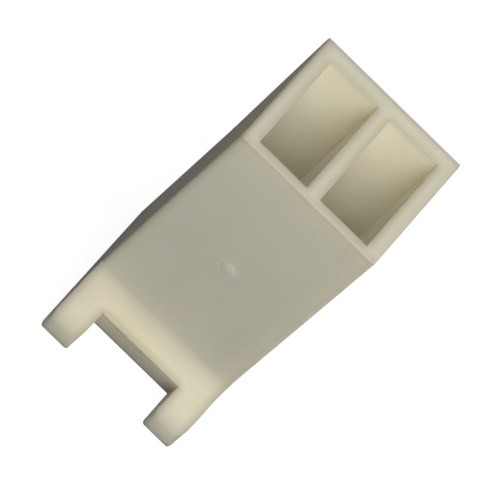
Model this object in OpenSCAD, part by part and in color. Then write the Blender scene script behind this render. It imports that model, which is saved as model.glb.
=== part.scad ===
// Two-circuit crimp-terminal housing, wire to board, friction-lock ramp.
// One moulded piece of natural nylon. It stands on its mating face (z = 0);
// +Z runs to the wire-entry end, -Y is the ramp side, X is the circuit row.

/* [Circuits] */
// Number of circuits in the row
circuits = 2; // [2:1:6]
// Distance between circuit centres, mm
pitch = 3.96; // [3.5:0.02:5.08]
// Width of a terminal cavity along the row, mm
cavity_width = 3.1; // [2.6:0.05:3.4]

/* [Body] */
// Length from the mating face to the wire-entry end, mm
body_length = 18.35; // [15:0.1:24]
// Thickness at the wire-entry end, mm
wire_end_depth = 8.1; // [7:0.05:9]
// Thickness at the mating end, mm
mating_end_depth = 6.4; // [5.6:0.1:7]
// Height above the mating face at which the back starts to flare, mm
flare_start = 10.1; // [8:0.1:13]
// Draft of each side, from the wire-entry end to the mating face, mm
side_draft = 0.03; // [0:0.01:0.15]

/* [Walls] */
// Outer wall at each end of the row, mm
end_wall = 0.87; // [0.7:0.01:1.2]
// Wall on the ramp side, mm
front_wall = 0.5; // [0.5:0.05:1.1]
// Wall on the back, mm
back_wall = 1.1; // [0.7:0.05:1.3]
// Floor under the cavities at the mating end, mm
floor_wall = 1.2; // [0.9:0.05:2]

/* [Ledge, ramp and legs] */
// Height of the locking ledge above the mating face, mm
ledge_height = 2.2; // [1.6:0.05:3]
// How far the locking ledge stands out from the front, mm
ledge_reach = 1.35; // [0.9:0.05:2]
// How far the foot of the ramp stands out from the front, mm
ramp_foot = 0.55; // [0.2:0.05:1.2]
// How far the two legs stand out from the front, mm
leg_reach = 3.0; // [2:0.05:3.6]
// Width of each leg, mm
leg_width = 1.8; // [1.4:0.05:2.4]
// Rounding of the upper outer edge of each leg, mm
leg_round = 1.35; // [0.3:0.05:1.6]
// Radius of the upright corners of each leg, mm
leg_corner = 0.35; // [0.15:0.05:0.6]
// Fillet where the front runs out into the ledge and the legs, mm
ledge_fillet = 1.1; // [0.2:0.05:1.3]

/* [Pin entries and lance windows] */
// Side of a square pin entry, mm
pin_entry = 2.1; // [1.5:0.05:2.6]
// Lead-in round each pin entry, mm
lead_in = 0.4; // [0.1:0.05:0.6]
// Width of a lance window, mm
window_width = 1.7; // [1.2:0.05:2.2]
// Height of a lance window, mm
window_height = 3.0; // [2:0.1:4]
// Height of a window's lower edge above the mating face, mm
window_sill = 5.2; // [3.5:0.1:6.5]

/* [Finish] */
// Radius of the outer edges, mm
edge_round = 0.24; // [0.1:0.02:0.34]
// Radius of the front edge at the wire-entry end, mm
lip_round = 0.1; // [0.04:0.02:0.34]
// Diameter of the trimmed gate on the front, mm
gate_diameter = 1.0; // [0.6:0.05:1.4]
// Height of the gate's centre above the mating face, mm
gate_z = 10.05; // [6:0.05:12]
// Height of the trimmed gate, mm
gate_height = 0.06; // [0.03:0.01:0.15]

/* [Hidden] */
$fn = 48;
arc_steps = 5;                 // flats in a small rounded edge
round_steps = 12;              // flats in a large rounded edge
over = 1;                      // how far a cutter runs past a face
ledge_flat = 0.12;             // half the flat kept outside the fillet
gate_bevel = 0.3;              // how much narrower the gate is at its top

body_width = (circuits - 1) * pitch + cavity_width + 2 * end_wall;
flare_height = body_length - flare_start;
flare_depth = wire_end_depth - mating_end_depth;
flare_angle = atan2(flare_depth, flare_height);
flare_edge = norm([flare_depth, flare_height]);
draft_angle = atan2(side_draft, body_length);
foot_width = body_width - 2 * side_draft;
notch_width = foot_width - 2 * leg_width;
// the fillet always leaves a narrow flat on the ledge
fillet = min(ledge_fillet, ledge_reach - 2 * ledge_flat);
leg_nose = min(leg_round, ledge_height - 2 * edge_round);
cavity_depth = mating_end_depth - front_wall - back_wall;
pin_y = front_wall + cavity_depth / 2;
// the rounded top back edge reaches this far back
back_reach = wire_end_depth + edge_round * (1 - 1 / tan((90 - flare_angle) / 2));
// the front face lies at y = 0 while building; this centres the outline
centre_y = (back_reach - leg_reach) / 2;

// ---- paths -------------------------------------------------------------
// points of an arc from angle a to angle b about centre c
function arc(c, r, a, b, n) =
    [for (i = [0:n]) c + r * [cos(a + (b - a) * i / n), sin(a + (b - a) * i / n)]];

// rounds corner p between neighbours q (before) and s (after)
function corner(q, p, s, r, n) = r <= 0 ? [p] :
    let (u = (q - p) / norm(q - p),
         v = (s - p) / norm(s - p),
         half = acos(u * v) / 2,
         m = (u + v) / norm(u + v),
         c = p + m * r / sin(half),
         a0 = p + u * r / tan(half) - c,
         a1 = p + v * r / tan(half) - c,
         a = atan2(a0[1], a0[0]),
         d = atan2(a1[1], a1[0]) - a,
         w = d > 180 ? d - 360 : d < -180 ? d + 360 : d)
    arc(c, r, a, a + w, n);

// a closed path with one radius for each corner
function soft(p, r, n = arc_steps) =
    [for (i = [0:len(p) - 1])
        each corner(p[(i + len(p) - 1) % len(p)], p[i], p[(i + 1) % len(p)], r[i], n)];

// ---- extrusions --------------------------------------------------------
// a (y, z) path carried along X, centred on x
module along_x(width, x = 0)
    translate([x - width / 2, 0, 0])
        rotate([90, 0, 90])
            linear_extrude(height = width) children();

// an (x, z) path carried along +Y from y0 to y1
module along_y(y0, y1)
    translate([0, y1, 0])
        rotate([90, 0, 0])
            linear_extrude(height = y1 - y0) children();

// cutter that rounds an upright outside edge: side is +1 or -1 in x,
// face is +1 for a back edge and -1 for a front edge
module upright_round(side, face, length, r = edge_round) {
    path = concat([[over, over], [over, -r]],
                  arc([-r, -r], r, 0, 90, arc_steps),
                  [[-r, over]]);
    linear_extrude(height = length)
        polygon([for (p = path) [p[0] * side, p[1] * face]]);
}

// ---- outside -----------------------------------------------------------
// side view of the body: straight below, flared on the back above
module body_outline() {
    path = [[0, 0], [mating_end_depth, 0], [mating_end_depth, flare_start],
            [wire_end_depth, body_length], [0, body_length]];
    polygon(soft(path, [0, edge_round, 0, edge_round, lip_round]));
}

// front view of everything: drafted sides and rounded corners
module front_outline() {
    path = [[-foot_width / 2, 0], [foot_width / 2, 0],
            [body_width / 2, body_length], [-body_width / 2, body_length]];
    polygon(soft(path, [edge_round, edge_round, edge_round, edge_round]));
}

// side view of a ledge that stands out from the front, over its foot:
// nose is the radius of its upper outer edge, sole that of its lower one
module ledge_outline(reach, foot, nose, sole) {
    root = front_wall / 2;
    tip = [-reach, ledge_height];
    toe = [-foot, 0];
    polygon(concat(
        [[root, 0]],
        corner([root, 0], toe, tip, sole, arc_steps),
        corner(toe, tip, [-fillet, ledge_height], nose, round_steps),
        arc([-fillet, ledge_height + fillet], fillet, -90, 0, round_steps),
        [[root, ledge_height + fillet]]));
}

// flat ledge on top, slope down to the mating face
module ramp()
    along_x(foot_width - leg_width)
        ledge_outline(ledge_reach, ramp_foot, edge_round / 2, 0);

// one leg on each side of the ramp, in line with the sides of the body
module legs()
    for (s = [-1, 1])
        translate([s * (foot_width - leg_width) / 2, 0, 0])
            difference() {
                along_x(leg_width + over, s * over / 2)
                    ledge_outline(leg_reach, leg_reach, leg_nose, edge_round);
                translate([-s * leg_width / 2, -leg_reach, -over])
                    upright_round(-s, -1, ledge_height + 2 * over, leg_corner);
                translate([s * leg_width / 2, -leg_reach, -over])
                    upright_round(s, -1, ledge_height + 2 * over, leg_corner);
            }

// cutters for the upright edges of the body, set to its draft
module upright_rounds()
    for (s = [-1, 1])
        translate([s * foot_width / 2, 0, 0])
            rotate([0, s * draft_angle, 0]) {
                translate([0, 0, ledge_height + fillet])
                    upright_round(s, -1, body_length);
                translate([0, mating_end_depth, -over])
                    upright_round(s, 1, flare_start + over);
                translate([0, mating_end_depth, flare_start])
                    rotate([-flare_angle, 0, 0])
                        upright_round(s, 1, flare_edge + over);
            }

// low, bevelled disc: its foot lies just inside the front face
module gate_mark()
    translate([0, gate_height, gate_z])
        rotate([90, 0, 0])
            cylinder(h = 2 * gate_height, d1 = gate_diameter + gate_bevel,
                     d2 = gate_diameter - gate_bevel);

// ---- inside ------------------------------------------------------------
// terminal cavity: straight below, flared with the back wall above
module cavity() {
    back = mating_end_depth - back_wall;
    rise = flare_depth / flare_height;
    along_x(cavity_width)
        polygon([[front_wall, floor_wall], [back, floor_wall], [back, flare_start],
                 [back + rise * (flare_height + over), body_length + over],
                 [front_wall, body_length + over]]);
}

// square entry through the floor, with a lead-in on the mating face
module pin_hole() {
    mouth = pin_entry + 2 * lead_in;
    translate([-pin_entry / 2, pin_y - pin_entry / 2, -over])
        cube([pin_entry, pin_entry, floor_wall + 2 * over]);
    intersection() {
        along_x(mouth + 2 * over)
            polygon([[pin_y - mouth / 2 - over, -over], [pin_y + mouth / 2 + over, -over],
                     [pin_y, mouth / 2]]);
        along_y(pin_y - mouth, pin_y + mouth)
            polygon([[-mouth / 2 - over, -over], [mouth / 2 + over, -over],
                     [0, mouth / 2]]);
    }
}

module lance_window()
    translate([-window_width / 2, mating_end_depth - back_wall - over, window_sill])
        cube([window_width, back_wall + 2 * over, window_height]);

// ---- the part ----------------------------------------------------------
module housing() {
    color([0.86, 0.83, 0.73])
    translate([0, -centre_y, 0])
    difference() {
        intersection() {
            union() {
                along_x(body_width + over) body_outline();
                legs();
                ramp();
                gate_mark();
            }
            along_y(-leg_reach - over, wire_end_depth + over) front_outline();
        }
        upright_rounds();
        for (i = [0:circuits - 1])
            translate([(i - (circuits - 1) / 2) * pitch, 0, 0]) {
                cavity();
                pin_hole();
                lance_window();
            }
    }
}

housing();
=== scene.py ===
"""Two-circuit crimp-terminal housing in natural nylon, standing on its mating face.

The moulding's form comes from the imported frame. This script shades its moulded
edges, gives it a translucent nylon and lights it on a pale floor. Metres.
"""

import math

import bmesh
import bpy
from mathutils import Matrix, Vector


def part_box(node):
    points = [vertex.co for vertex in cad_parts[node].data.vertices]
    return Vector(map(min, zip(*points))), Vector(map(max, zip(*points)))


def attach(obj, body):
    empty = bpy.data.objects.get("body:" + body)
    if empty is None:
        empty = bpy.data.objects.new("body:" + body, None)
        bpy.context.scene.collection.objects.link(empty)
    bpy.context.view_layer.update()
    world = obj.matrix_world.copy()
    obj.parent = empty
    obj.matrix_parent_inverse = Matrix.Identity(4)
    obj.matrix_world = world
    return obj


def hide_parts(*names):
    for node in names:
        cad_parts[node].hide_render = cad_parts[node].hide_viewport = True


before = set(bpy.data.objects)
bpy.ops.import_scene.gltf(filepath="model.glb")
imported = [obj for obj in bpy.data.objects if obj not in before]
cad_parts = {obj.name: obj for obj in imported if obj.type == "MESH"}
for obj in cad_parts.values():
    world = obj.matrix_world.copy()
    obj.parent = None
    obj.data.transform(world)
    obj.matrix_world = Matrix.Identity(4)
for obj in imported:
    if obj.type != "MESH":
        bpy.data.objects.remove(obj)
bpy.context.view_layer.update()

MM = 0.001

# ---- the housing ---------------------------------------------------------
HOUSING = "housing"
ROW_WIDTH = 8.8 * MM
LEG_REACH = 3.0 * MM
GATE_HEIGHT = 10.05 * MM

# ---- nylon ---------------------------------------------------------------
# cloudy tint of the resin
RESIN_LIGHT = (0.935, 0.870, 0.690, 1)
RESIN_WARM = (0.915, 0.845, 0.655, 1)
CLOUD_SCALE = 260.0
# painted highlight round the gate's small bump, which also paints over its shaded
# lower edge; from its strongest to nothing
GATE_HIGHLIGHT_COLOUR = (0.980, 0.935, 0.765, 1)
GATE_HIGHLIGHT_AMOUNT = 0.75
GATE_HIGHLIGHT_NEAR = 0.10 * MM
GATE_HIGHLIGHT_FAR = 0.75 * MM
# painted shade at the thin outer edges and painted light in the cavities
PAINTED_EDGE_SHADE = (0.700, 0.625, 0.450, 1)
EDGE_SHADE_DEPTH = 0.5 * MM
PAINTED_CAVITY_LIGHT = (0.985, 0.955, 0.840, 1)
CAVITY_LIGHT_REACH = 5 * MM
SHADE_AND_LIGHT_SAMPLES = 12
# how far light spreads under the surface
SUBSURFACE_RADIUS = (1.0, 1.0, 0.9)
SUBSURFACE_DEPTH = 1.0 * MM
# dull moulded surface
ROUGHNESS = (0.72, 0.84)
SHEEN_SCALE = 900.0
GRAIN_SCALE = 9000.0
GRAIN_STRENGTH = 0.08
GRAIN_HEIGHT = 0.02 * MM
GLOSS_LEVEL = 0.06
NYLON_IOR = 1.53

# ---- shading of the edges ------------------------------------------------
SHARP_EDGE = math.radians(30)
FLAT_ANGLE = math.radians(0.5)
FLAT_WEIGHT = 50
MERGE = 0.0005 * MM

# ---- light and floor -----------------------------------------------------
FLOOR_HALF_WIDTH = 0.5
FLOOR_GREY = (0.20, 0.20, 0.196, 1)
FLOOR_GLOW = 0.93
WORLD_FILL = 0.02
BOX_SIZE = 0.14
BOX_DISTANCE = 0.25
BOX_AIM = Vector((0, 0, 9 * MM))


def join(tree, source, target):
    tree.links.new(source, target)


def node(tree, kind, **values):
    """Adds a shader node; values name its properties or its input sockets."""
    made = tree.nodes.new(kind)
    for name, value in values.items():
        if hasattr(made, name):
            setattr(made, name, value)
        else:
            made.inputs[name.replace("_", " ")].default_value = value
    return made


def noise(tree, place, **values):
    """A noise that sits still on the moulding."""
    made = node(tree, "ShaderNodeTexNoise", **values)
    join(tree, place, made.inputs["Vector"])
    return made.outputs["Fac"]


def band(tree, factor, low, high):
    """Remaps the middle of a noise to the range low-high."""
    made = node(tree, "ShaderNodeMapRange", From_Min=0.3, From_Max=0.7,
                To_Min=low, To_Max=high)
    join(tree, factor, made.inputs["Value"])
    return made.outputs["Result"]


def mix(tree, factor, start, end):
    """Mixes two colours; each is a socket or a plain colour."""
    made = node(tree, "ShaderNodeMix", data_type="RGBA")
    join(tree, factor, made.inputs["Factor"])
    for slot, colour in ((6, start), (7, end)):
        if isinstance(colour, tuple):
            made.inputs[slot].default_value = colour
        else:
            join(tree, colour, made.inputs[slot])
    return made.outputs[2]


def openness(tree, reach, inside, shut, clear, at_shut, at_clear):
    """How open a spot is, or with inside how thick: at_shut to at_clear."""
    seen = node(tree, "ShaderNodeAmbientOcclusion", samples=SHADE_AND_LIGHT_SAMPLES,
                inside=inside, only_local=True, Distance=reach)
    made = node(tree, "ShaderNodeMapRange", From_Min=shut, From_Max=clear,
                To_Min=at_shut, To_Max=at_clear)
    join(tree, seen.outputs["AO"], made.inputs["Value"])
    return made.outputs["Result"]


def natural_nylon(gate):
    """Milky, slightly translucent nylon with a fine moulded surface."""
    material = bpy.data.materials.new("natural_nylon")
    material.use_nodes = True
    tree = material.node_tree
    resin = tree.nodes["Principled BSDF"]
    place = node(tree, "ShaderNodeTexCoord").outputs["Object"]

    cloud = noise(tree, place, Scale=CLOUD_SCALE, Detail=3.0, Roughness=0.5)
    tint = node(tree, "ShaderNodeValToRGB")
    for stop, position, colour in zip(tint.color_ramp.elements, (0.35, 0.65),
                                      (RESIN_WARM, RESIN_LIGHT)):
        stop.position = position
        stop.color = colour
    join(tree, cloud, tint.inputs["Fac"])

    # painted highlight: the nylon is painted paler round the trimmed gate, in place of
    # the light on its small bump
    reach = node(tree, "ShaderNodeVectorMath", operation="DISTANCE")
    join(tree, place, reach.inputs[0])
    reach.inputs[1].default_value = gate
    gate_highlight = node(tree, "ShaderNodeMapRange", interpolation_type="SMOOTHSTEP",
                 From_Min=GATE_HIGHLIGHT_NEAR, From_Max=GATE_HIGHLIGHT_FAR,
                 To_Min=GATE_HIGHLIGHT_AMOUNT, To_Max=0.0)
    join(tree, reach.outputs["Value"], gate_highlight.inputs["Value"])
    colour = mix(tree, gate_highlight.outputs["Result"], tint.outputs["Color"], GATE_HIGHLIGHT_COLOUR)

    # painted shade: the thin outer edges are painted darker, in place of the light
    # that leaks out of them
    thick = openness(tree, EDGE_SHADE_DEPTH, True, 0.45, 1.0, 0.0, 1.0)
    colour = mix(tree, thick, PAINTED_EDGE_SHADE, colour)

    # painted light: the cavities are painted paler, in place of the light that thin
    # walls let into them
    cavity_light_mask = openness(tree, CAVITY_LIGHT_REACH, False, 0.12, 0.50, 1.0, 0.0)
    colour = mix(tree, cavity_light_mask, colour, PAINTED_CAVITY_LIGHT)
    join(tree, colour, resin.inputs["Base Color"])

    sheen = noise(tree, place, Scale=SHEEN_SCALE, Detail=2.0)
    join(tree, band(tree, sheen, *ROUGHNESS), resin.inputs["Roughness"])

    grain = noise(tree, place, Scale=GRAIN_SCALE, Detail=2.0)
    bump = node(tree, "ShaderNodeBump", Strength=GRAIN_STRENGTH, Distance=GRAIN_HEIGHT)
    join(tree, grain, bump.inputs["Height"])
    join(tree, bump.outputs["Normal"], resin.inputs["Normal"])

    resin.subsurface_method = "RANDOM_WALK"
    resin.inputs["Subsurface Weight"].default_value = 1.0
    resin.inputs["Subsurface Radius"].default_value = SUBSURFACE_RADIUS
    resin.inputs["Subsurface Scale"].default_value = SUBSURFACE_DEPTH
    resin.inputs["Specular IOR Level"].default_value = GLOSS_LEVEL
    resin.inputs["IOR"].default_value = NYLON_IOR
    return material


def moulded_shell(node_name):
    """The moulding as one joined skin, smooth over its rounds, true on its flats."""
    shape = bmesh.new()
    shape.from_mesh(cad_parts[node_name].data)
    bmesh.ops.remove_doubles(shape, verts=shape.verts, dist=MERGE)
    bmesh.ops.dissolve_limit(shape, angle_limit=FLAT_ANGLE,
                             verts=shape.verts, edges=shape.edges)
    bmesh.ops.recalc_face_normals(shape, faces=shape.faces)
    for face in shape.faces:
        face.smooth = True
    for edge in shape.edges:
        edge.smooth = edge.calc_face_angle(0) < SHARP_EDGE
    mesh = bpy.data.meshes.new("moulded_housing")
    shape.to_mesh(mesh)
    shape.free()
    piece = bpy.data.objects.new("moulded_housing", mesh)
    bpy.context.scene.collection.objects.link(piece)
    flats = piece.modifiers.new("true_flats", "WEIGHTED_NORMAL")
    flats.mode = "FACE_AREA"
    flats.weight = FLAT_WEIGHT
    flats.keep_sharp = True
    return piece


def white_to_camera(tree):
    """1 for camera, glossy and transmission rays, 0 for all others."""
    path = node(tree, "ShaderNodeLightPath")
    total = path.outputs["Is Camera Ray"]
    for name in ("Is Glossy Ray", "Is Transmission Ray"):
        either = node(tree, "ShaderNodeMath", operation="MAXIMUM")
        join(tree, total, either.inputs[0])
        join(tree, path.outputs[name], either.inputs[1])
        total = either.outputs[0]
    return total


def pale_floor():
    """A wide pale floor at z = 0 that keeps the housing's shadow."""
    shape = bmesh.new()
    bmesh.ops.create_grid(shape, x_segments=1, y_segments=1, size=FLOOR_HALF_WIDTH)
    mesh = bpy.data.meshes.new("floor")
    shape.to_mesh(mesh)
    shape.free()
    floor = bpy.data.objects.new("floor", mesh)
    bpy.context.scene.collection.objects.link(floor)
    material = bpy.data.materials.new("pale_floor")
    material.use_nodes = True
    tree = material.node_tree
    tree.nodes.clear()
    matt = node(tree, "ShaderNodeBsdfDiffuse", Color=FLOOR_GREY)
    shine = node(tree, "ShaderNodeEmission", Color=(1, 1, 1, 1))
    scaled = node(tree, "ShaderNodeMath", operation="MULTIPLY")
    join(tree, white_to_camera(tree), scaled.inputs[0])
    scaled.inputs[1].default_value = FLOOR_GLOW
    join(tree, scaled.outputs[0], shine.inputs["Strength"])
    both = node(tree, "ShaderNodeAddShader")
    join(tree, matt.outputs[0], both.inputs[0])
    join(tree, shine.outputs[0], both.inputs[1])
    end = node(tree, "ShaderNodeOutputMaterial")
    join(tree, both.outputs[0], end.inputs["Surface"])
    mesh.materials.append(material)


def studio_world():
    """Plain white behind everything, and a faint even fill on the housing."""
    world = bpy.data.worlds.new("studio")
    bpy.context.scene.world = world
    world.use_nodes = True
    tree = world.node_tree
    back = tree.nodes["Background"]
    back.inputs["Color"].default_value = (1, 1, 1, 1)
    level = node(tree, "ShaderNodeMapRange", To_Min=WORLD_FILL, To_Max=1.0)
    join(tree, white_to_camera(tree), level.inputs["Value"])
    join(tree, level.outputs["Result"], back.inputs["Strength"])


def soft_light(name, turn, rise, strength):
    """A square soft box that looks at the middle of the housing.

    turn runs from the front towards +X, in degrees; rise is up from the floor.
    A strength of 1 lights a facing white card to about white.
    """
    lamp = bpy.data.lights.new(name, "AREA")
    lamp.shape = "SQUARE"
    lamp.size = BOX_SIZE
    lamp.energy = strength * math.pi * math.pi * BOX_DISTANCE * BOX_DISTANCE
    holder = bpy.data.objects.new(name, lamp)
    turn, rise = math.radians(turn), math.radians(rise)
    towards = Vector((math.sin(turn) * math.cos(rise),
                      -math.cos(turn) * math.cos(rise), math.sin(rise)))
    holder.location = BOX_AIM + towards * BOX_DISTANCE
    looks = BOX_AIM - holder.location
    holder.rotation_euler = looks.to_track_quat("-Z", "Y").to_euler()
    bpy.context.scene.collection.objects.link(holder)


def camera(elevation, side, roll, lens, distance, aim, slide):
    """Looks at aim from the front, raised and turned, with the picture rolled.

    The picture's own corners point along the row and along the moulding, so
    roll is the small turn that is left beside that half of a right angle.
    """
    view = Vector((-math.sin(side) * math.cos(elevation),
                   -math.cos(side) * math.cos(elevation), math.sin(elevation)))
    level = Vector((math.cos(side), -math.sin(side), 0))
    upright = view.cross(level)
    if upright.z < 0:
        upright.negate()
    across = level * math.cos(roll) + upright * math.sin(roll)
    along = upright * math.cos(roll) - level * math.sin(roll)
    right = (across + along).normalized()
    up = (along - across).normalized()
    place = aim - slide[0] * across - slide[1] * along + distance * view
    lens_data = bpy.data.cameras.new("camera")
    lens_data.lens = lens
    lens_data.sensor_width = 36
    lens_data.clip_start = 0.01
    lens_data.clip_end = 10
    holder = bpy.data.objects.new("camera", lens_data)
    turn = Matrix((right, up, view)).transposed()
    holder.matrix_world = Matrix.Translation(place) @ turn.to_4x4()
    bpy.context.scene.collection.objects.link(holder)
    bpy.context.scene.camera = holder


# ---- the scene -----------------------------------------------------------
low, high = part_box(HOUSING)
front = low.y + LEG_REACH

piece = moulded_shell(HOUSING)
piece.data.materials.append(natural_nylon(Vector((0, front, GATE_HEIGHT))))
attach(piece, "root")
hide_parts(HOUSING)

camera(elevation=0.92350, side=0.10268, roll=0.06862, lens=551.19,
       distance=42 * ROW_WIDTH,
       aim=Vector((0, front + 0.3 * ROW_WIDTH, high.z - ROW_WIDTH)),
       slide=(-0.024775 * ROW_WIDTH, 0.046670 * ROW_WIDTH))
pale_floor()
studio_world()
soft_light("key_box", turn=14, rise=61, strength=0.42)
soft_light("low_box", turn=18, rise=28, strength=0.23)
soft_light("side_box", turn=90, rise=50, strength=0.20)
soft_light("rear_box", turn=165, rise=10, strength=0.22)
soft_light("fill_box", turn=-100, rise=25, strength=0.06)

bpy.context.scene.view_settings.view_transform = "Standard"
